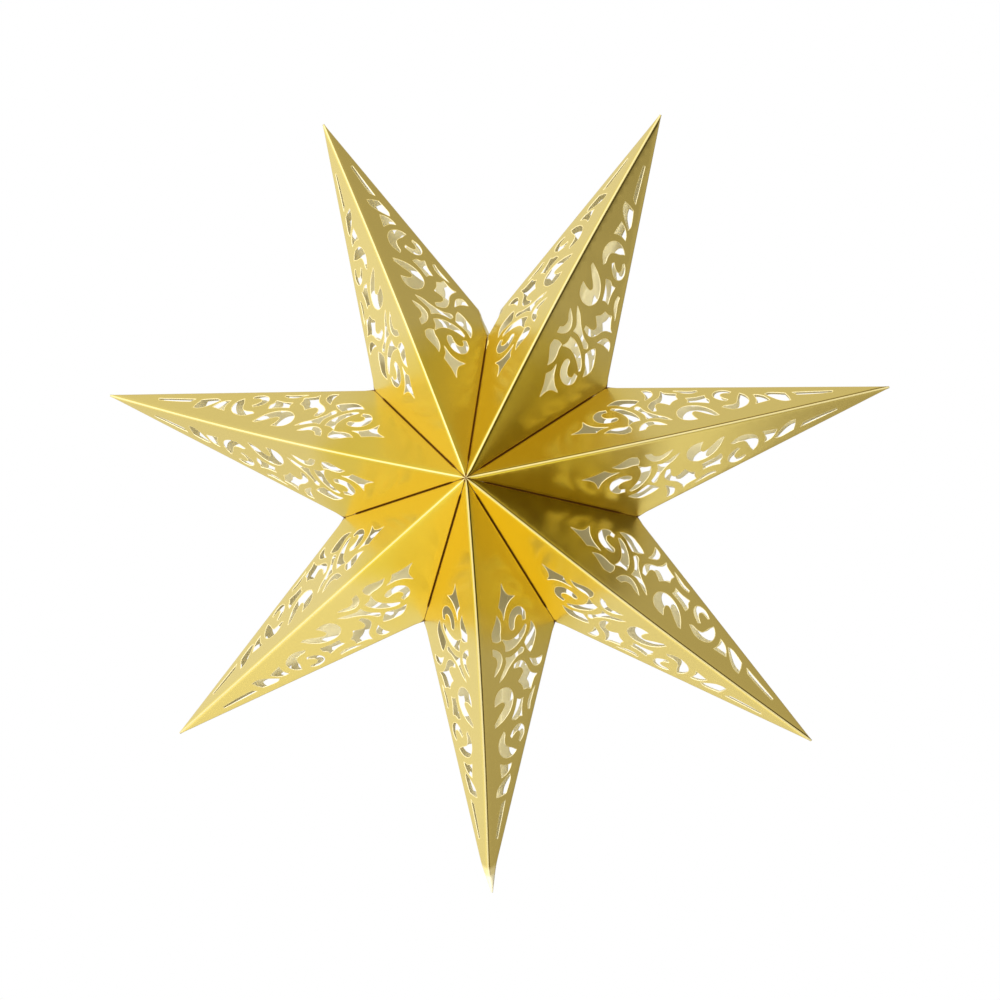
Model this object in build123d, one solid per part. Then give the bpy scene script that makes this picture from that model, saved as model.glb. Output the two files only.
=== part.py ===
from build123d import *
import math
import os

# Paper star of seven hollow points, each folded from one sheet of thin card.
# Millimetres, +Z up. The star faces -Y, and its origin is on the axis through both apexes,
# midway between them. Its points are numbered clockwise from the closing seam at the top.

# The open star
point_count = 7
tip_radius = 308  # from the axis to the sharp end of a point
valley_radius = 114  # from the axis to the inner corner between two points
apex_height = 110  # from the middle plane to the front apex, and to the back one

# The closing seam, where the first and the last point meet
closing_pinch = 1.3  # degrees that the gap between these two points lacks of an even share
closing_rise = 8  # how much further out their valley corner lies
hanging_gap_half_width = 7.8  # the corners cut away there leave a gap for a hanging cord
hanging_gap_depth = 11

# The card and its glue flaps
card_thickness = 0.4
flap_width = 9
flap_end_gap = 16  # from each end of a valley fold to its flap

# The scroll pattern of one facet. Each outline's corners are in percent: along the ridge from
# the apex to the tip, and along the valley fold from the apex to the valley corner.
scroll_pattern = [
    # by the valley fold: flared bell, scroll, valley leaf and ridge leaf
    [(12.9, 33.9), (13.1, 40.2), (10.6, 49.1), (15.4, 40.6), (21.2, 34.1), (20, 28.9)],
    [(11.6, 61.7), (10.1, 59.9), (12.3, 51.7), (17.3, 42.3), (20.7, 42.9), (15.7, 48.8)],
    [(10.1, 68.8), (11, 73.8), (18, 66.2), (18.3, 59.1)],
    [(23.2, 25.9), (24.1, 29.6), (27.9, 28.6), (31.2, 18.6)],
    # next to them: fang, forked sliver, crescent and the small fan at the outer edge
    [(13.2, 61.5), (16, 59.1), (24.3, 44.7), (28.3, 34.7), (26.9, 31.5), (22.3, 44.7)],
    [(20.6, 55.8), (21.8, 55.8), (28.8, 41.7), (38.7, 25.3), (30.2, 34.4)],
    [(33.5, 18.6), (31.5, 26.8), (33, 29.2), (39.6, 19), (34.7, 23.3)],
    [(14.5, 80.4), (17.1, 77.9), (19.6, 71.1), (20.1, 65.2)],
    # across the middle: crown with its tail, edge blade, middle leaf and big comma
    [(29, 44.1), (24.5, 53.5), (24, 62.9), (21.4, 72.9)]
    + [(27.6, 64.4), (30.9, 49.4), (26.4, 55.8), (26.8, 51.1)],
    [(25.4, 69.7), (33.7, 61.1), (30.1, 62.5)],
    [(33.3, 53.8), (38.4, 51.5), (43.5, 39), (36, 46.8)],
    [(41.7, 22.9), (37.1, 35.3), (37, 40.8), (41.1, 38), (52.5, 16.8), (42.8, 30.3), (47.2, 17.6)],
    # towards the tip: open hook, closing hook, fan, lozenge and the long slit
    [(48.4, 36), (43.1, 44.7), (40.3, 54.4), (45.8, 48), (43.1, 48.2), (48.1, 38.1)],
    [(49.7, 28.8), (53.1, 28.2), (49.6, 42.8), (55, 31.7), (57.4, 22.3), (55.6, 20.3)],
    [(55.1, 35.9), (63, 22.3), (60.1, 21.4)],
    [(58.5, 33.5), (64.8, 28.2), (70.3, 14.7), (64.8, 21.7)],
    [(67.3, 26.4), (80.7, 13.9), (71.3, 19.7)],
]

# Angles are in degrees, clockwise from the top as seen from the front
even_share = 360 / point_count
closing_gap = even_share - closing_pinch
step = (360 - closing_gap) / (point_count - 1)
closing_valley_radius = valley_radius + closing_rise

# One flat facet: its ridge, and where its valley corner lies beside it
ridge_length = math.hypot(tip_radius, apex_height)
valley_length = math.hypot(valley_radius, apex_height)
half_step = math.radians(step / 2)
edge_length = math.hypot(
    tip_radius - valley_radius * math.cos(half_step), valley_radius * math.sin(half_step)
)
valley_foot = (ridge_length**2 + valley_length**2 - edge_length**2) / (2 * ridge_length)
facet_width = math.sqrt(valley_length**2 - valley_foot**2)

front_apex = Vector(0, -apex_height, 0)
back_apex = Vector(0, apex_height, 0)


def spoke(angle, radius):
    """Point of the middle plane at this angle and distance from the axis."""
    turn = math.radians(angle)
    return Vector(radius * math.sin(turn), 0, radius * math.cos(turn))


def square_to(vector, axis):
    """Unit vector of the part of a vector that is square to an axis."""
    return (vector - axis * (vector.dot(axis) / axis.dot(axis))).normalized()


def flat_face(*corners):
    return Face(Wire.make_polygon(corners))


def facet_normal(apex, tip, valley):
    """Unit vector out of a facet."""
    normal = (tip - apex).cross(valley - apex).normalized()
    return normal if normal.dot(apex) > 0 else -normal


def shell_of_point(tip, before, after):
    """Four facets one card thick, folded at two ridges and two outer edges, open at both seams."""
    apexes, valleys = (front_apex, back_apex), (before, after)
    facets = [flat_face(apex, tip, valley) for apex in apexes for valley in valleys]
    seams = [flat_face(front_apex, valley, back_apex) for valley in valleys]
    outside = Solid(Shell(facets + seams))
    # Slid along the middle plane, the outside becomes the hollow that leaves walls one card thick
    normal_before, normal_after = (facet_normal(front_apex, tip, valley) for valley in valleys)
    across = normal_after.cross(back_apex) - normal_before.cross(back_apex)
    slide = across * (-card_thickness / normal_before.dot(normal_after.cross(back_apex)))
    return outside - outside.moved(Location(slide))


def glue_flap(apex, valley, tip):
    """Flap bent in along one valley fold, flat against the neighbour's flap."""
    fold = valley - apex
    along = fold.normalized()
    inward = square_to(-apex, fold)
    near = apex + along * flap_end_gap
    far = valley - along * flap_end_gap
    slant = along * flap_width
    flap = flat_face(near, far, far - slant + inward * flap_width, near + slant + inward * flap_width)
    return extrude(flap, amount=card_thickness, dir=square_to(tip, valley))


def scroll_cutters(apex, tip, valley):
    """One prism for each cut-out of a facet, through the card and a little past it."""
    ridge = tip - apex
    fold = ridge.normalized() * valley_foot + square_to(valley - apex, ridge) * facet_width
    cutters = []
    for outline in scroll_pattern:
        corners = [apex + ridge * (along / 100) + fold * (across / 100) for along, across in outline]
        cutters += extrude(flat_face(*corners), amount=2 * card_thickness, both=True).solids()
    return cutters


def hanging_gap_cutter(tip):
    """Kite that trims the closing seam's valley corners, from front to back."""
    floor = closing_valley_radius - hanging_gap_depth
    rise = (tip.Z - closing_valley_radius) * hanging_gap_half_width / abs(tip.X)
    brow = closing_valley_radius + rise
    kite = flat_face(
        (0, 0, floor),
        (hanging_gap_half_width, 0, brow),
        (0, 0, tip_radius),
        (-hanging_gap_half_width, 0, brow),
    )
    return extrude(kite, amount=apex_height, both=True, dir=(0, 1, 0))


def star_point(number):
    """The folded, pierced and flapped sheet of one point."""
    angle = closing_gap / 2 + number * step
    first, last = number == 0, number == point_count - 1
    tip = spoke(angle, tip_radius)
    before = spoke(0, closing_valley_radius) if first else spoke(angle - step / 2, valley_radius)
    after = spoke(0, closing_valley_radius) if last else spoke(angle + step / 2, valley_radius)
    sheet = shell_of_point(tip, before, after)
    cutters = []
    for apex in (front_apex, back_apex):
        for valley in (before, after):
            sheet += glue_flap(apex, valley, tip)
            cutters += scroll_cutters(apex, tip, valley)
    if first or last:
        cutters.append(hanging_gap_cutter(tip))
    return sheet - cutters


os.makedirs("parts", exist_ok=True)
for number in range(point_count):
    export_step(star_point(number), f"parts/star_point_{number + 1}.step")
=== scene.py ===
"""A paper star of seven folded and pierced points in satin gold card, hanging in a pale studio.

The star is worked out in millimetres, and MM turns its meshes to metres. The studio is in metres.
"""

import math

import bpy
from mathutils import Matrix, Vector
from mathutils.geometry import delaunay_2d_cdt
from mathutils.kdtree import KDTree


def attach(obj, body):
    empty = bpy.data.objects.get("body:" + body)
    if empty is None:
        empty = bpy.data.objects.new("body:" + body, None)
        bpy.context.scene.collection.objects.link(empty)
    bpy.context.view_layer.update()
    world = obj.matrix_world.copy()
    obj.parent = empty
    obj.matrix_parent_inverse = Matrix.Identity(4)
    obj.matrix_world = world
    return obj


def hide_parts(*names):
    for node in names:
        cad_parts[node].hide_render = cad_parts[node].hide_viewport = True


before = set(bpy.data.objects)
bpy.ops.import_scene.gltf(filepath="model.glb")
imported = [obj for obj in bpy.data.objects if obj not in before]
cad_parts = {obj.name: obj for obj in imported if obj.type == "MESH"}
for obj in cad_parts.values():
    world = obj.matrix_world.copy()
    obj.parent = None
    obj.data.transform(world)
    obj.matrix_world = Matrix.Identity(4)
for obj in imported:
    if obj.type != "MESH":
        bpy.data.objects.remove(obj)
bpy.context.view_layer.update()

MM = 0.001

# The star, as in the solids
point_count = 7
tip_radius = 308
valley_radius = 114
apex_height = 110
closing_pinch = 1.3
closing_rise = 8
hanging_gap_half_width = 7.8
hanging_gap_depth = 11
card_thickness = 0.4
flap_width = 9
flap_end_gap = 16

# How the card is folded and worn
crease_width = 1.9  # half the width of a rounded fold, seen square to it
seam_width = 1.4  # the same for the folds at the glued seams
# From each end of a fold, how far it stays sharp, and over how much more it takes its full width
crease_taper = (0, 7)
seam_taper = (13, 6)
tip_blunting = 4.5  # off the sharp end of each point
apex_opening = 1.0  # from the apex to where the sheets begin
rim_width = 0.9  # card beside a cut that the die pressed and left pale
ridge_bows = (-3.2, 1.5, 2.2, -2.2, 0, -3.8, 1.5)  # how far each ridge bows, clockwise if above 0
# Which side of each ridge carries the painted shade line, a dark line standing in for the shaded side of
# the crease: 0 before it, 1 after it, None neither
shaded_ridge_sides = (None, 0, 0, 0, None, None, None)
shade_line_start, shade_line_end = 1.0, 2.4  # from the crest
# The cut edges of the hanging gap, by point: how far off the closing seam, and how high up
gap_corners = {
    0: ((7.7, 124.5), (5.2, 119), (1.4, 112)),
    6: ((6.3, 124), (3.6, 118), (0.9, 112)),
}
raw_edge_length = 16  # pale raw edge of the first point's sheet, below the hanging gap
bent_point, bent_length, bend = 3, 28, 2.5  # the worn tip, bent anticlockwise
bent_wear, bent_spread = 1.6, 2.2  # its greatest wear, and how steeply that is reached towards its end

# The meshes
mesh_step = 5.0  # between the grid points of a facet
row_step = 3.5  # between the points along a fold
curve_step = 0.9  # between the points around a cut-out
fold_rows = 4  # across half a fold
rim_margin = 0.5  # from a fold to the nearest rim point
grid_margin = 2.6  # from a fold to the nearest grid point
grid_clearance = 1.6  # from a cut-out or the outline to the nearest grid point
weld_distance = 0.02
sharp_angle = 40  # degrees between faces, above which an edge is shaded sharp

closing_gap = 360 / point_count - closing_pinch
step = (360 - closing_gap) / (point_count - 1)
closing_valley_radius = valley_radius + closing_rise

# The cut-outs of one flat facet, in mm along the ridge from the apex and in mm off the ridge.
# Each is a ring of strokes: a stroke starts at a corner and curves through its points to the next.
scroll_pattern = {
    "slit": [[(255, 22.3)], [(282.8, 12.2)], [(281.5, 10.4), (272, 12.8), (263.5, 15.4)], [(257, 17.8)]],
    "lozenge": [
        [(235.8, 28.2), (239.5, 28.9), (245, 26.4)],
        [(249.9, 23.5), (250.3, 18)],
        [(249.8, 12.4), (246, 13.1), (242.6, 15.8), (239.8, 20), (237.4, 24.6)],
    ],
    "tip_fan": [
        [(228, 30.8), (231.8, 28.8), (234.8, 24.8)],
        [(236.2, 18.8), (231, 18.4)],
        [(225, 17.9), (227, 21.6), (228.1, 26)],
    ],
    "closing_hook": [
        [(200.8, 23.2), (203.2, 24.6), (207.5, 23.7), (211.8, 24.4), (214.4, 27.6), (216.4, 32)],
        [(219.7, 36.8), (222, 33), (222.7, 28), (221, 22.4), (216.8, 18.5), (211, 17.1), (206, 18.4)],
    ],
    "open_hook": [
        [(206.6, 30.3), (202.8, 33.8), (200.4, 38.3), (200.8, 42.8), (203.8, 45.8)]
        + [(208.2, 45.9), (212, 43.8)],
        [(214.3, 41)],
        [(213, 39.8), (209, 41.5), (206, 41), (205, 38.4), (206.3, 34.8)],
        [(208.6, 31.8)],
    ],
    "comma": [
        [(178.4, 14.6), (173.5, 15.3), (169, 18), (166.9, 23.5), (168.6, 30.5), (174.5, 34.9)]
        + [(181.5, 34.2), (188, 29.8), (192.4, 22.5)],
        [(194.8, 14)],
        [(192.2, 14), (187.5, 19), (183.4, 23.8), (180.2, 26), (177.5, 24), (177.3, 19.3)],
    ],
    "middle_leaf": [
        [(181, 46.1), (187.5, 44.4)],
        [(194.9, 44.3), (194.3, 40.8), (195.6, 37)],
        [(194, 32.6), (190.5, 35), (186, 37.4)],
        [(179.9, 39.6), (181.3, 42.6)],
    ],
    "edge_blade": [
        [(176, 59.8), (181, 57.4), (187, 54.4)],
        [(192.1, 53)],
        [(191.8, 51), (187, 51.1), (182, 53.5), (178.6, 57)],
    ],
    "crown": [
        [(152.4, 37.6), (151.3, 42.5), (152.2, 46.8), (156, 50.6), (161.5, 53.5), (165, 57.3)],
        [(167.4, 62.8), (168.9, 59.8), (172.5, 57.2)],
        [(176.8, 55), (175.2, 51.5)],
        [(175, 47.2), (170.6, 45.4)],
        [(166.8, 41.6), (164.3, 44.6), (161, 47.3), (157.8, 46.4), (156, 43.2), (155.6, 39.8)],
        [(155, 37.2)],
    ],
    "crescent": [
        [(134.2, 15.5), (136.5, 20), (140, 23.6), (144.7, 25), (149.3, 23.2), (152.6, 20.2)],
        [(155.5, 15.8), (151, 17.5), (147.8, 19.5), (144.3, 19.8), (141, 18.4)],
        [(138.8, 15.5)],
    ],
    "forked_sliver": [
        [(141.2, 46), (143, 48.9), (145.6, 47.6), (146.6, 42.5), (149.4, 36.8)]
        + [(153.5, 31.4), (158, 26.8)],
        [(161.2, 20.9), (157, 23.6), (152.5, 27.2), (148.5, 29.3)],
        [(144.6, 29), (145.4, 34.5), (143.9, 40.5)],
    ],
    "edge_fan": [
        [(154.8, 69), (158, 68)],
        [(160.4, 66), (160.7, 62), (158.5, 58.4)],
        [(152.7, 55), (154.6, 59.5), (155.2, 64)],
    ],
    "fang": [
        [(124.8, 51.8)],
        [(126.2, 53.1), (130.6, 51.3), (135, 46.8), (138.6, 40.5), (140, 34)],
        [(139.6, 29.2), (134.6, 28.9)],
        [(129.7, 26.3), (131.6, 30.3), (132.6, 35.3), (131.6, 41), (128.8, 46.8)],
    ],
    "valley_leaf": [
        [(124.4, 58.2), (129, 61.3), (134.5, 62.9), (140.5, 61), (145.5, 58.3)],
        [(147.9, 55.9), (144.5, 52.8)],
        [(138.8, 50), (134.8, 53), (130.5, 56.6)],
    ],
    "ridge_leaf": [
        [(110, 21.8), (115.5, 24.9), (121, 25.3), (125.5, 24.4)],
        [(129.8, 24.8), (130, 20.5)],
        [(128, 16.2), (123, 15.4), (118.5, 17.5), (114.3, 20.2)],
    ],
    "scroll": [
        [(121.3, 52.5), (115.5, 52.4), (110.8, 48.5), (109.1, 43), (111, 37.8), (115.5, 35)]
        + [(121.5, 34.6), (125.2, 36.6), (124.9, 39.6), (120.5, 40.3), (116.8, 42.2)]
        + [(115.6, 45.5), (117.3, 48.6)],
        [(121, 49.2)],
    ],
    "bell": [
        [(87.2, 28.8), (93.5, 31.6), (97.8, 35.6)],
        [(100.3, 42.4), (102.8, 36.4), (107.8, 31.8)],
        [(115.4, 29), (109, 27.7)],
        [(104, 24.3), (96, 27.3)],
    ],
}


def spoke(angle, radius):
    """Point of the middle plane at this angle, clockwise from the top, and distance from the axis."""
    turn = math.radians(angle)
    return Vector((radius * math.sin(turn), 0, radius * math.cos(turn)))


def square_to(vector, axis):
    """Unit vector of the part of a vector that is square to an axis."""
    return (vector - vector.project(axis)).normalized()


def spaced(start, end, gap):
    """Numbers from start to end, about one gap apart."""
    count = max(1, round(abs(end - start) / gap))
    return [start + (end - start) * index / count for index in range(count + 1)]


def smooth_ring(strokes):
    """Points along a cut-out's outline, which is smooth except at the strokes' first points."""
    ring = []
    for index, stroke in enumerate(strokes):
        following = strokes[(index + 1) % len(strokes)][0]
        knots = [Vector(knot) for knot in [*stroke, following]]
        knots = [2 * knots[0] - knots[1], *knots, 2 * knots[-1] - knots[-2]]
        for a, b, c, d in zip(knots, knots[1:], knots[2:], knots[3:]):
            pieces = max(1, round((c - b).length / curve_step))
            for piece in range(pieces):
                t = piece / pieces
                curve = 2 * b + (c - a) * t + (2 * a - 5 * b + 4 * c - d) * t * t
                ring.append((curve + (3 * b - a - 3 * c + d) * t**3) / 2)
    return ring


cut_rings = [smooth_ring(strokes) for strokes in scroll_pattern.values()]


class Fold:
    """A straight fold of a flat facet, from start to end, with the facet on its left."""

    def __init__(self, start, end, turn, width, taper):
        self.start, self.end = start, end
        self.along = (end - start).normalized()
        self.inward = Vector((-self.along.y, self.along.x))
        self.length = (end - start).length
        self.half_turn, self.up = turn
        self.width, self.taper = width, taper

    def width_at(self, place):
        """Half width of the rounding, which tapers off at both ends of the fold."""
        sharp, widening = self.taper
        nearest_end = min(place, self.length - place)
        return self.width * min(1, max((nearest_end - sharp) / widening, 0.01))

    def band_at(self, place):
        """Half width of the worn band along the fold."""
        return max(self.width_at(place), self.width / 3)

    def offset(self, point):
        """How far along the fold a point lies, and how far into the facet."""
        reach = point - self.start
        return reach.dot(self.along), reach.dot(self.inward)

    def sink_at(self, place, depth):
        """How far the rounded fold lies inside the sharp one, this far along and off the fold."""
        width = self.width_at(place)
        beyond = width - depth * math.cos(self.half_turn)
        return beyond * beyond / (2 * width) * math.tan(self.half_turn) if beyond > 0 else 0

    def wear(self, point):
        """From 0 beside the fold to 1 on its crest."""
        place, depth = self.offset(point)
        return max(0, 1 - depth * math.cos(self.half_turn) / self.band_at(place))

    def row_point(self, place, row):
        """Point of one of the mesh rows that follow the worn band."""
        reach = self.band_at(place) / math.cos(self.half_turn) * row / fold_rows
        return self.start + self.along * place + self.inward * reach


class Facet:
    """One front facet. Its flat places are along the ridge from the apex, and off the ridge."""

    def __init__(self, tip, valley_point, closing):
        self.apex = Vector((0, -apex_height, 0))
        ridge, valley = tip - self.apex, valley_point - self.apex
        self.along = ridge.normalized()
        self.across = square_to(valley, ridge)
        self.ridge_length = ridge.length
        self.valley = Vector((valley.dot(self.along), valley.dot(self.across)))
        self.normal = self.along.cross(self.across)
        if self.normal.y > 0:
            self.normal.negate()
        self.closing = closing

    def place(self, point):
        """Where a flat place lies in the star."""
        return self.apex + self.along * point.x + self.across * point.y

    def seen_at(self, across, up):
        """Flat place of the point that the front view shows this far right of and above the apex."""
        y = -apex_height - (self.normal.x * across + self.normal.z * up) / self.normal.y
        reach = Vector((across, y, up)) - self.apex
        return Vector((reach.dot(self.along), reach.dot(self.across)))

    def bow(self, point):
        """How much of its ridge's bow a point takes: all on the ridge, none at the outline."""
        share = point.x / self.ridge_length
        foot = self.valley.x
        if point.x < foot:
            near = point.x / foot
        else:
            near = (self.ridge_length - point.x) / (self.ridge_length - foot)
        depth = point.y / max(self.valley.y * near, 0.01)
        return math.sin(math.pi * min(share, 1)) * max(0, 1 - depth)


def turn_between(normal_a, normal_b):
    """Half the angle between two outward normals, and the unit vector midway between them."""
    return normal_a.angle(normal_b) / 2, (normal_a + normal_b).normalized()


def seam_marks(seam_length, seam_end):
    """Distances from the apex along a seam, with one at each end of its flap."""
    flap_near, flap_far = flap_end_gap, seam_length - flap_end_gap
    marks = spaced(apex_opening, flap_near, row_step)[:-1] + spaced(flap_near, flap_far, row_step)
    if seam_end > flap_far + 0.1:
        marks += spaced(flap_far, seam_end, row_step)[1:]
    return marks


def points_beside_cuts(tree, is_inside):
    """A row of points one rim width off each cut-out, where there is room for it."""
    points = []
    for ring in cut_rings:
        area = sum(a.x * b.y - a.y * b.x for a, b in zip(ring, ring[1:] + ring[:1]))
        outward = 1 if area < 0 else -1
        for before, here, after in zip(ring[-1:] + ring[:-1], ring, ring[1:] + ring[:1]):
            along = (after - before).normalized()
            beside = here + Vector((-along.y, along.x)) * outward * rim_width
            if is_inside(beside, rim_margin) and tree.find((beside.x, beside.y, 0))[2] > rim_width * 0.8:
                points.append(beside)
    return points


def points_between(side, tree, is_inside):
    """A triangular grid of points over what the folds and the cut-outs leave free."""
    points = []
    x = mesh_step
    odd = False
    while x < side.ridge_length:
        y = mesh_step / 2 if odd else mesh_step
        while y < side.valley.y:
            if is_inside(Vector((x, y)), grid_margin) and tree.find((x, y, 0))[2] > grid_clearance:
                points.append(Vector((x, y)))
            y += mesh_step
        x += mesh_step * 0.87
        odd = not odd
    return points


def flat_template(side, folds, gap_edge):
    """Triangles of a flat facet with its cut-outs: points, how near each is to a cut, and faces."""
    ridge, edge, seam = folds
    origin, tip, valley = ridge.start, ridge.end, side.valley
    seam_stop, edge_stop = 1.0, 1.0
    if gap_edge:
        seam_stop = 1 - hanging_gap_depth / closing_valley_radius
        edge_stop = 1 - hanging_gap_half_width / (tip_radius * math.sin(math.radians(closing_gap / 2)))
    ridge_end = side.ridge_length * (1 - tip_blunting / tip_radius)
    blunted = tip_blunting / (tip_radius - valley_radius * math.cos(math.radians(step / 2)))
    edge_from, edge_to = blunted * edge.length, edge_stop * edge.length
    marks = seam_marks(valley.length, seam_stop * valley.length)
    # The outline, anticlockwise: ridge, blunt tip, outer edge, hanging gap if any, seam and apex
    outline = [Vector((x, 0)) for x in spaced(apex_opening, ridge_end, row_step)]
    outline += [tip.lerp(valley, s / edge.length) for s in spaced(edge_from, edge_to, row_step)]
    outline += gap_edge
    seam_points = [origin.lerp(valley, s / valley.length) for s in reversed(marks)]
    outline += seam_points if gap_edge else seam_points[1:]
    points = list(outline)
    cut_nearness = [0.0] * len(points)
    faces = [list(range(len(points)))]
    for ring in cut_rings:
        faces.append(list(range(len(points), len(points) + len(ring))))
        points += ring
        cut_nearness += [1.0] * len(ring)
    tree = KDTree(len(points))
    for index, point in enumerate(points):
        tree.insert((point.x, point.y, 0), index)
    tree.balance()

    def is_inside(point, margin):
        return all(fold.offset(point)[1] > margin for fold in (seam, edge, ridge))

    extra = points_beside_cuts(tree, is_inside)
    for fold, low, high in ((ridge, apex_opening, ridge_end), (edge, edge_from, edge_to)):
        for row in range(1, fold_rows + 1):
            extra += [fold.row_point(place, row) for place in spaced(low, high, row_step)[1:-1]]
    for row in range(1, fold_rows + 1):
        extra += [seam.row_point(valley.length - mark, row) for mark in marks[1:-1]]
    extra += points_between(side, tree, is_inside)
    points += extra
    cut_nearness += [0.0] * len(extra)
    inside_with_holes = 2
    flat, _, triangles, origins, _, _ = delaunay_2d_cdt(points, [], faces, inside_with_holes, 1e-6)
    used = sorted({index for triangle in triangles for index in triangle})
    renumbered = {old: new for new, old in enumerate(used)}
    nearness = [max((cut_nearness[i] for i in origins[old]), default=0.0) for old in used]
    return [flat[old] for old in used], nearness, [[renumbered[i] for i in face] for face in triangles]


# Each vertex carries these, in this order. The last is how far it lies from the crest of its ridge,
# above 0 on the side that may carry the painted shade line.
wear_and_shade_names = ("fold_wear", "cut_wear", "seam_glue_and_shade", "ridge_shade_side")
flap_wear = (0.0, 0.0, 1.0, -1.0)
mirror = Matrix.Diagonal((1, -1, 1))


class Builder:
    """Collects the vertices and faces of one piece, with the wear and painted shade of each vertex."""

    def __init__(self):
        self.vertices, self.faces, self.wear = [], [], []

    def add(self, vertices, faces, wear):
        first = len(self.vertices)
        self.vertices += vertices
        self.faces += [[first + index for index in face] for face in faces]
        self.wear += wear

    def add_both(self, vertices, faces, wear):
        """A part of the front, and its mirror image at the back."""
        self.add(vertices, faces, wear)
        self.add([mirror @ vertex for vertex in vertices], [face[::-1] for face in faces], wear)


def turned_out(vertices, faces, probe, outward):
    """The faces, all turned round if the probe face looks inward."""
    a, b, c = (vertices[index] for index in probe[:3])
    turned = (b - a).cross(c - a).dot(outward) < 0
    return [face[::-1] for face in faces] if turned else faces


templates = {}


def add_facet(builder, number, side, folds, clockwise, takes_shade_line):
    """A facet with its cut-outs, folded, bowed and worn, with its painted shade marked on each vertex.
    """
    ridge, edge, seam = folds
    gap_edge = []
    if side.closing:
        outward = 1 if number == 0 else -1
        gap_edge = [side.seen_at(outward * across, up) for across, up in gap_corners[number]]
    key = (number if side.closing else None, round(side.valley.x, 3))
    if key not in templates:
        templates[key] = flat_template(side, folds, gap_edge)
    flat, nearness, triangles = templates[key]
    has_raw_edge = side.closing and number == 0
    raw_edge_end = side.valley.length * hanging_gap_depth / closing_valley_radius + raw_edge_length
    vertices, wear = [], []
    for point, cut in zip(flat, nearness):
        place = side.place(point)
        for fold in folds:
            place = place - fold.up * fold.sink_at(*fold.offset(point))
        place = place + clockwise * (ridge_bows[number] * side.bow(point))
        # The seam's brown: painted shade along the valley outside, glue inside
        worn, glue_and_shade = max(ridge.wear(point), edge.wear(point)), seam.wear(point)
        if number == bent_point:
            near_tip = max(0, 1 - (side.ridge_length - point.x) / bent_length)
            place = place - clockwise * (bend * near_tip * near_tip * (3 - 2 * near_tip))
            cut = max(cut, bent_wear * min(1, bent_spread * near_tip))
        if has_raw_edge and glue_and_shade > 0 and seam.offset(point)[0] < raw_edge_end:
            worn, glue_and_shade = 1.0, 0.0
        vertices.append(place)
        # The last value places the painted shade line beside the ridge
        wear.append((worn, cut, glue_and_shade, point.y if takes_shade_line else -point.y))
    builder.add_both(vertices, turned_out(vertices, triangles, triangles[0], side.normal), wear)


def add_flap(builder, side, seam, out_of_seam):
    """The glue flap of a facet, from the rounding of the seam's fold to its free edge."""
    fold_line = (side.place(side.valley) - side.apex).normalized()
    inward = square_to(-side.apex, fold_line)
    width = seam_width / math.cos(seam.half_turn)
    rows = [width * row / fold_rows for row in range(fold_rows + 1)] + [flap_width]
    marks = spaced(flap_end_gap, side.valley.length - flap_end_gap, row_step)
    vertices, faces = [], []
    for row in rows:
        for index, mark in enumerate(marks):
            slant = row * (1 - 2 * index / (len(marks) - 1))
            place = side.apex + fold_line * (mark + slant) + inward * row
            vertices.append(place - seam.up * seam.sink_at(mark, row))
    for row in range(len(rows) - 1):
        for index in range(len(marks) - 1):
            corner = row * len(marks) + index
            faces.append([corner, corner + 1, corner + len(marks) + 1, corner + len(marks)])
    faces = turned_out(vertices, faces, faces[len(faces) // 2], out_of_seam)
    builder.add_both(vertices, faces, [flap_wear] * len(vertices))


def star_point(number):
    """One point of the star as a thin folded sheet, front and back."""
    angle = closing_gap / 2 + number * step
    first, last = number == 0, number == point_count - 1
    tip = spoke(angle, tip_radius)
    before = spoke(0, closing_valley_radius) if first else spoke(angle - step / 2, valley_radius)
    after = spoke(0, closing_valley_radius) if last else spoke(angle + step / 2, valley_radius)
    sides = [Facet(tip, before, first), Facet(tip, after, last)]
    ridge_turn = turn_between(sides[0].normal, sides[1].normal)
    clockwise = spoke(angle + 90, 1)
    builder = Builder()
    for side_index, side in enumerate(sides):
        edge_turn = turn_between(side.normal, mirror @ side.normal)
        # Out of the seam plane, towards the neighbour
        out_of_seam = -square_to(tip, side.place(side.valley))
        out_of_seam = square_to(out_of_seam, side.apex)
        seam_turn = turn_between(side.normal, out_of_seam)
        origin, flat_tip = Vector((0, 0)), Vector((side.ridge_length, 0))
        folds = (
            Fold(origin, flat_tip, ridge_turn, crease_width, crease_taper),
            Fold(flat_tip, side.valley, edge_turn, crease_width, crease_taper),
            Fold(side.valley, origin, seam_turn, seam_width, seam_taper),
        )
        add_facet(builder, number, side, folds, clockwise, shaded_ridge_sides[number] == side_index)
        add_flap(builder, side, folds[2], out_of_seam)
    return builder


def make_piece(title, builder, materials):
    """The sheet's own thickness goes inward. Its materials are for outside, inside and cut edge."""
    mesh = bpy.data.meshes.new(title)
    mesh.from_pydata([vertex * MM for vertex in builder.vertices], [], builder.faces)
    for name, values in zip(wear_and_shade_names, zip(*builder.wear)):
        layer = mesh.attributes.new(name, "FLOAT", "POINT")
        layer.data.foreach_set("value", list(values))
    piece = bpy.data.objects.new(title, mesh)
    bpy.context.scene.collection.objects.link(piece)
    for material in materials:
        mesh.materials.append(material)
    weld = piece.modifiers.new("weld", "WELD")
    weld.merge_threshold = weld_distance * MM
    shell = piece.modifiers.new("card", "SOLIDIFY")
    shell.thickness = card_thickness * MM
    shell.offset = -1
    shell.material_offset = 1
    shell.material_offset_rim = 2
    graph = bpy.context.evaluated_depsgraph_get()
    solid = bpy.data.meshes.new_from_object(piece.evaluated_get(graph))
    piece.modifiers.clear()
    piece.data = solid
    solid.name = title
    solid.shade_smooth()
    solid.set_sharp_from_angle(angle=math.radians(sharp_angle))
    return piece


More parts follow.
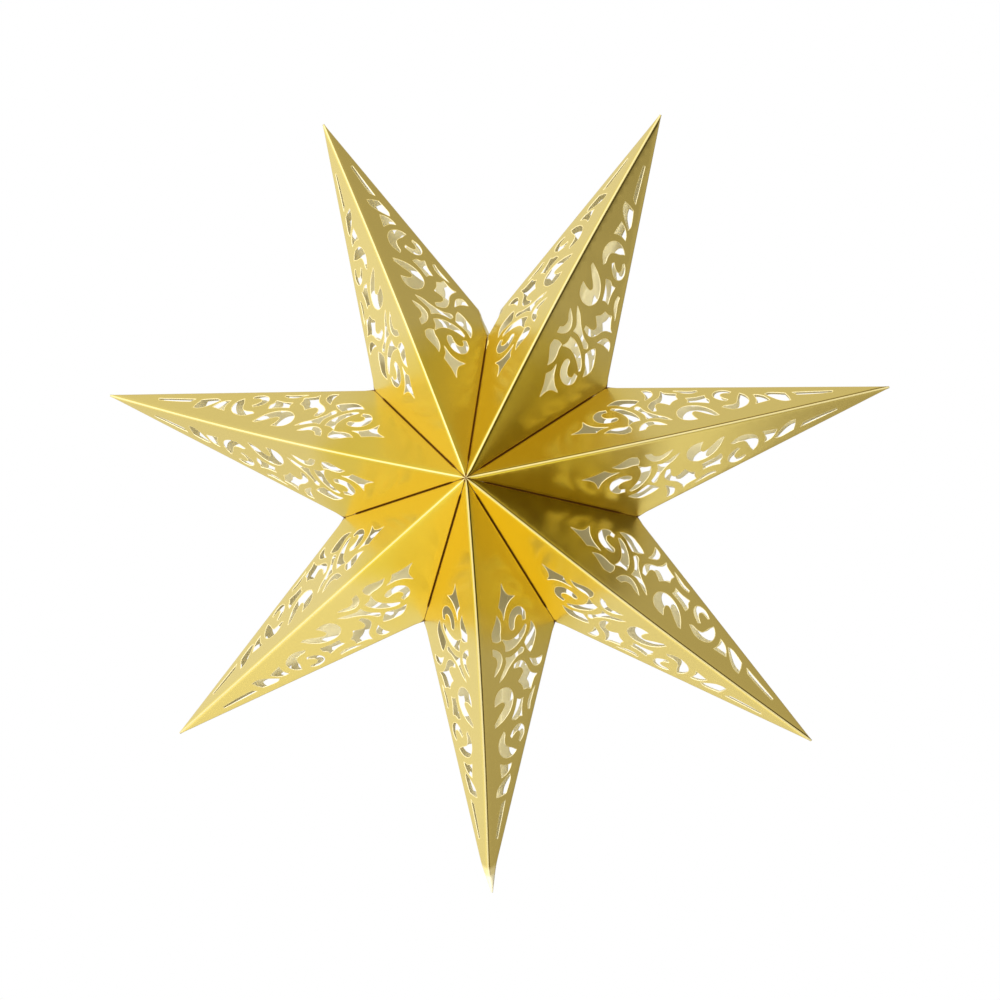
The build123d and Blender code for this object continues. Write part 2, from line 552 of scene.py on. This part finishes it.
class Nodes:
    """Short calls for the nodes of one material or of the world."""

    def __init__(self, tree):
        self.tree = tree

    def add(self, kind, **settings):
        node = self.tree.nodes.new(kind)
        for name, value in settings.items():
            setattr(node, name, value)
        return node

    def join(self, source, target):
        self.tree.links.new(source, target)

    def put(self, target, value):
        if isinstance(value, bpy.types.NodeSocket):
            self.join(value, target)
        else:
            target.default_value = value

    def attribute(self, name):
        return self.add("ShaderNodeAttribute", attribute_name=name).outputs["Fac"]

    def noise(self, scale, detail=2.0, roughness=0.5):
        """Noise fixed to the object, with this many cells a metre."""
        place = self.add("ShaderNodeTexCoord").outputs["Object"]
        node = self.add("ShaderNodeTexNoise")
        self.join(place, node.inputs["Vector"])
        node.inputs["Scale"].default_value = scale
        node.inputs["Detail"].default_value = detail
        node.inputs["Roughness"].default_value = roughness
        return node.outputs["Fac"]

    def radius(self):
        """Distance from the star's axis, in metres."""
        place = self.add("ShaderNodeTexCoord").outputs["Object"]
        flat = self.add("ShaderNodeVectorMath", operation="MULTIPLY")
        self.join(place, flat.inputs[0])
        flat.inputs[1].default_value = (1, 0, 1)
        size = self.add("ShaderNodeVectorMath", operation="LENGTH")
        self.join(flat.outputs["Vector"], size.inputs[0])
        return size.outputs["Value"]

    def math(self, operation, a, b):
        node = self.add("ShaderNodeMath", operation=operation)
        self.put(node.inputs[0], a)
        self.put(node.inputs[1], b)
        return node.outputs[0]

    def ramp(self, value, low, high, to_low=0.0, to_high=1.0, shape="SMOOTHSTEP"):
        node = self.add("ShaderNodeMapRange", interpolation_type=shape)
        self.put(node.inputs["Value"], value)
        limits = {"From Min": low, "From Max": high, "To Min": to_low, "To Max": to_high}
        for name, limit in limits.items():
            node.inputs[name].default_value = limit
        return node.outputs["Result"]

    def mix(self, share, a, b):
        node = self.add("ShaderNodeMix", data_type="RGBA")
        self.put(node.inputs["Factor"], share)
        self.put(node.inputs["A"], a)
        self.put(node.inputs["B"], b)
        return node.outputs["Result"]

    def bump(self, height, strength, distance, before=None):
        node = self.add("ShaderNodeBump")
        node.inputs["Strength"].default_value = strength
        node.inputs["Distance"].default_value = distance
        self.join(height, node.inputs["Height"])
        if before is not None:
            self.join(before, node.inputs["Normal"])
        return node.outputs["Normal"]


def new_material(title):
    """A material, short calls for its nodes, and the inputs of its shader."""
    material = bpy.data.materials.new(title)
    material.use_nodes = True
    tree = material.node_tree
    return material, Nodes(tree), tree.nodes["Principled BSDF"].inputs


gold_pale = (0.95, 0.765, 0.21, 1)
# Painted reflection: the deeper gold that the facets near the apex take from each other
reflected_gold = (0.92, 0.69, 0.06, 1)
bare_card = (0.70, 0.64, 0.42, 1)
cracked_foil = (0.36, 0.325, 0.19, 1)
# Glue on the flaps, and painted shade along the outside of the valley folds
glue_and_valley_shade = (0.24, 0.11, 0.012, 1)
# Painted shade: the dark line beside some ridges
painted_ridge_shade = (0.22, 0.13, 0.02, 1)
card_white = (0.73, 0.675, 0.44, 1)
floor_grey = (0.72, 0.72, 0.72, 1)
inner_card_glow = 0.09  # painted light: how strongly the inside of the card glows, standing in for the daylight that comes through the thin card
reflected_gold_end, pale_gold_start = 0.085, 0.135  # metres from the axis, over which the painted reflection fades into the plain foil
gold_blend_waver = 15  # millimetres
fold_cover, cut_cover, shade_line_cover = 0.8, 0.5, 0.7  # how much of the foil the wear and the painted shade line hide
satin_smooth, satin_rough, worn_extra = 0.19, 0.23, 0.35  # roughness of the foil


def gold_card():
    """Satin gold foil, painted a deeper gold towards the apex as a painted reflection, cracked pale on
    the folds, pale at the cuts, with a painted shade line beside some ridges, and brown in the seams:
    glue on the flaps, painted shade along the outside of the valleys.
    """
    material, made, shader = new_material("gold_card")
    # Painted reflection: towards the apex the foil is painted a deeper gold, standing in for the gold
    # facets reflecting each other
    waver = made.ramp(made.noise(14, 3), 0.2, 0.8, -gold_blend_waver, gold_blend_waver)
    outward = made.math("ADD", made.radius(), made.math("MULTIPLY", waver, MM))
    foil = made.mix(made.ramp(outward, reflected_gold_end, pale_gold_start), reflected_gold, gold_pale)
    speckle = made.ramp(made.noise(900, 2), 0.3, 0.5, 0.8, 1.0)
    folds = made.ramp(made.attribute("fold_wear"), 0.55, 0.85, 0.0, fold_cover)
    folds = made.math("MULTIPLY", folds, speckle)
    # A cut's pale rim takes part of the foil, and the bent tip's wear, above 1, takes the rest
    cut_wear = made.attribute("cut_wear")
    rims = made.ramp(cut_wear, 0.2, 0.8, 0.0, cut_cover)
    cuts = made.math("ADD", rims, made.ramp(cut_wear, 1.05, 1.5, 0.0, 1 - cut_cover))
    worn = made.math("MAXIMUM", folds, cuts)
    # Brown at the seams: glue on the flaps, and painted shade along the outside of the valleys
    seams = made.ramp(made.attribute("seam_glue_and_shade"), 0.1, 0.6)
    # Painted shade: a dark line beside the ridge on its shaded side, with soft edges
    side = made.attribute("ridge_shade_side")
    soft = (shade_line_end - shade_line_start) / 4
    rise = made.ramp(side, shade_line_start - soft, shade_line_start + soft)
    fall = made.ramp(side, shade_line_end - soft, shade_line_end + soft, shade_line_cover, 0.0)
    foil = made.mix(made.math("MULTIPLY", rise, fall), foil, painted_ridge_shade)
    card = made.mix(cuts, made.mix(folds, foil, cracked_foil), bare_card)
    made.join(made.mix(seams, card, glue_and_valley_shade), shader["Base Color"])
    made.join(made.math("SUBTRACT", 1.0, worn), shader["Metallic"])
    satin = made.ramp(made.noise(60, 4), 0.3, 0.7, satin_smooth, satin_rough)
    matt = made.math("MULTIPLY", made.math("MAXIMUM", worn, seams), worn_extra)
    made.join(made.math("ADD", satin, matt), shader["Roughness"])
    fibres = made.bump(made.noise(1600, 3, 0.6), 0.03, 0.0002)
    waves = made.bump(made.noise(18, 1), 0.05, 0.002, fibres)
    made.join(waves, shader["Normal"])
    shader["Coat Weight"].default_value = 0.2
    shader["Coat Roughness"].default_value = 0.22
    return material


def plain_card(title, colour, roughness, glow=0.0):
    """Uncoated card with a fine fibrous surface, brown with glue at the seams."""
    material, made, shader = new_material(title)
    fibres = made.noise(700, 4, 0.6)
    darker = tuple(part * 0.93 for part in colour[:3]) + (1,)
    card = made.mix(made.ramp(fibres, 0.3, 0.7), darker, colour)
    glue_and_shade = made.ramp(made.attribute("seam_glue_and_shade"), 0.05, 0.5)
    made.join(made.mix(glue_and_shade, card, glue_and_valley_shade), shader["Base Color"])
    shader["Roughness"].default_value = roughness
    made.join(made.bump(fibres, 0.15, 0.0002), shader["Normal"])
    # Painted light: the card glows, though it is no lamp
    if glow:
        shader["Emission Color"].default_value = colour
        shader["Emission Strength"].default_value = glow
    return material


card_materials = (
    gold_card(),
    plain_card("inner_card", card_white, 0.75, inner_card_glow),
    plain_card("cut_edge", bare_card, 0.8),
)

for number in range(point_count):
    node = f"star_point_{number + 1}"
    piece = make_piece(f"folded_point_{number + 1}", star_point(number), card_materials)
    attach(piece, "root")
    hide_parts(node)

# The floor, well below the hanging star
floor_radius = 0.9
floor_depth = 1.1
bpy.ops.mesh.primitive_circle_add(
    vertices=128, radius=floor_radius, fill_type="NGON", location=(0, 0, -floor_depth)
)
floor = bpy.context.object
floor.name = "floor"
floor.data.materials.append(plain_card("floor_paint", floor_grey, 0.9))

# The light: a pale room, dim to the right of the camera, and a little less bright behind the star
dim_direction = (0.895, -0.442, -0.061)
# From straight away from the dim side, at 0, to straight towards it, at 1
room_levels = (
    *((0, 1.03), (0.25, 0.82), (0.4, 0.72), (0.5, 0.57), (0.6, 0.47), (0.7, 0.47)),
    *((0.8, 0.46), (0.89, 0.52), (0.928, 0.11), (1, 0.05)),
)
fade_start, fade_end, faded = 0.1, 0.5, 0.82
warm_dim, cool_bright = (1, 0.86, 0.62, 1), (0.98, 1, 1.1, 1)
backdrop_white = (1, 1, 1, 1)

world = bpy.data.worlds.new("studio")
bpy.context.scene.world = world
world.use_nodes = True
made = Nodes(world.node_tree)
ray = made.add("ShaderNodeTexCoord").outputs["Generated"]
turn = made.add("ShaderNodeVectorMath", operation="DOT_PRODUCT")
turn.inputs[1].default_value = dim_direction
made.join(ray, turn.inputs[0])
levels = made.add("ShaderNodeFloatCurve")
curve = levels.mapping.curves[0]
for place, level in room_levels[1:-1]:
    curve.points.new(place, level)
curve.points[0].location = room_levels[0]
curve.points[-1].location = room_levels[-1]
levels.mapping.update()
made.join(made.ramp(turn.outputs["Value"], -1.0, 1.0, shape="LINEAR"), levels.inputs["Value"])
parts = made.add("ShaderNodeSeparateXYZ")
made.join(ray, parts.inputs[0])
fade = made.ramp(parts.outputs["Y"], fade_start, fade_end, 1.0, faded)
brightness = made.math("MULTIPLY", levels.outputs["Value"], fade)
room = world.node_tree.nodes["Background"]
made.join(made.mix(brightness, warm_dim, cool_bright), room.inputs["Color"])
made.join(brightness, room.inputs["Strength"])
# The camera itself sees a plain white backdrop
seen = made.add("ShaderNodeBackground")
seen.inputs["Color"].default_value = backdrop_white
blend = made.add("ShaderNodeMixShader")
made.join(made.add("ShaderNodeLightPath").outputs["Is Camera Ray"], blend.inputs["Fac"])
made.join(room.outputs["Background"], blend.inputs[1])
made.join(seen.outputs["Background"], blend.inputs[2])
made.join(blend.outputs["Shader"], world.node_tree.nodes["World Output"].inputs["Surface"])


def softbox(name, place, size, power):
    """A square light that faces the star."""
    lamp = bpy.data.lights.new(name, "AREA")
    lamp.shape = "SQUARE"
    lamp.size = size
    lamp.energy = power
    holder = bpy.data.objects.new(name, lamp)
    bpy.context.scene.collection.objects.link(holder)
    holder.location = place
    holder.rotation_mode = "QUATERNION"
    holder.rotation_quaternion = (-Vector(place)).to_track_quat("-Z", "Y")


softbox("front_light", (-0.5, -2.4, 0.6), size=1.2, power=140)

bpy.context.scene.view_settings.view_transform = "Standard"

# The camera, right of the star's front and a little below its middle
camera_azimuth = math.radians(8.774)
camera_elevation = math.radians(-2.394)
camera_roll = math.radians(0.1)
camera_distance = 1.7415
back = Vector(
    (
        math.sin(camera_azimuth) * math.cos(camera_elevation),
        -math.cos(camera_azimuth) * math.cos(camera_elevation),
        math.sin(camera_elevation),
    )
)
lens = bpy.data.cameras.new("camera")
lens.sensor_width = 36
lens.lens = 83.81
lens.shift_x = 0.01047
lens.shift_y = -0.01565
camera = bpy.data.objects.new("camera", lens)
bpy.context.scene.collection.objects.link(camera)
level = Vector((math.cos(camera_azimuth), math.sin(camera_azimuth), 0))
upright = back.cross(level)
rolled = Matrix.Rotation(camera_roll, 3, back)
right, up = rolled @ level, rolled @ upright
camera.matrix_world = Matrix(
    (
        (right.x, up.x, back.x, back.x * camera_distance),
        (right.y, up.y, back.y, back.y * camera_distance),
        (right.z, up.z, back.z, back.z * camera_distance),
        (0, 0, 0, 1),
    )
)
bpy.context.scene.camera = camera
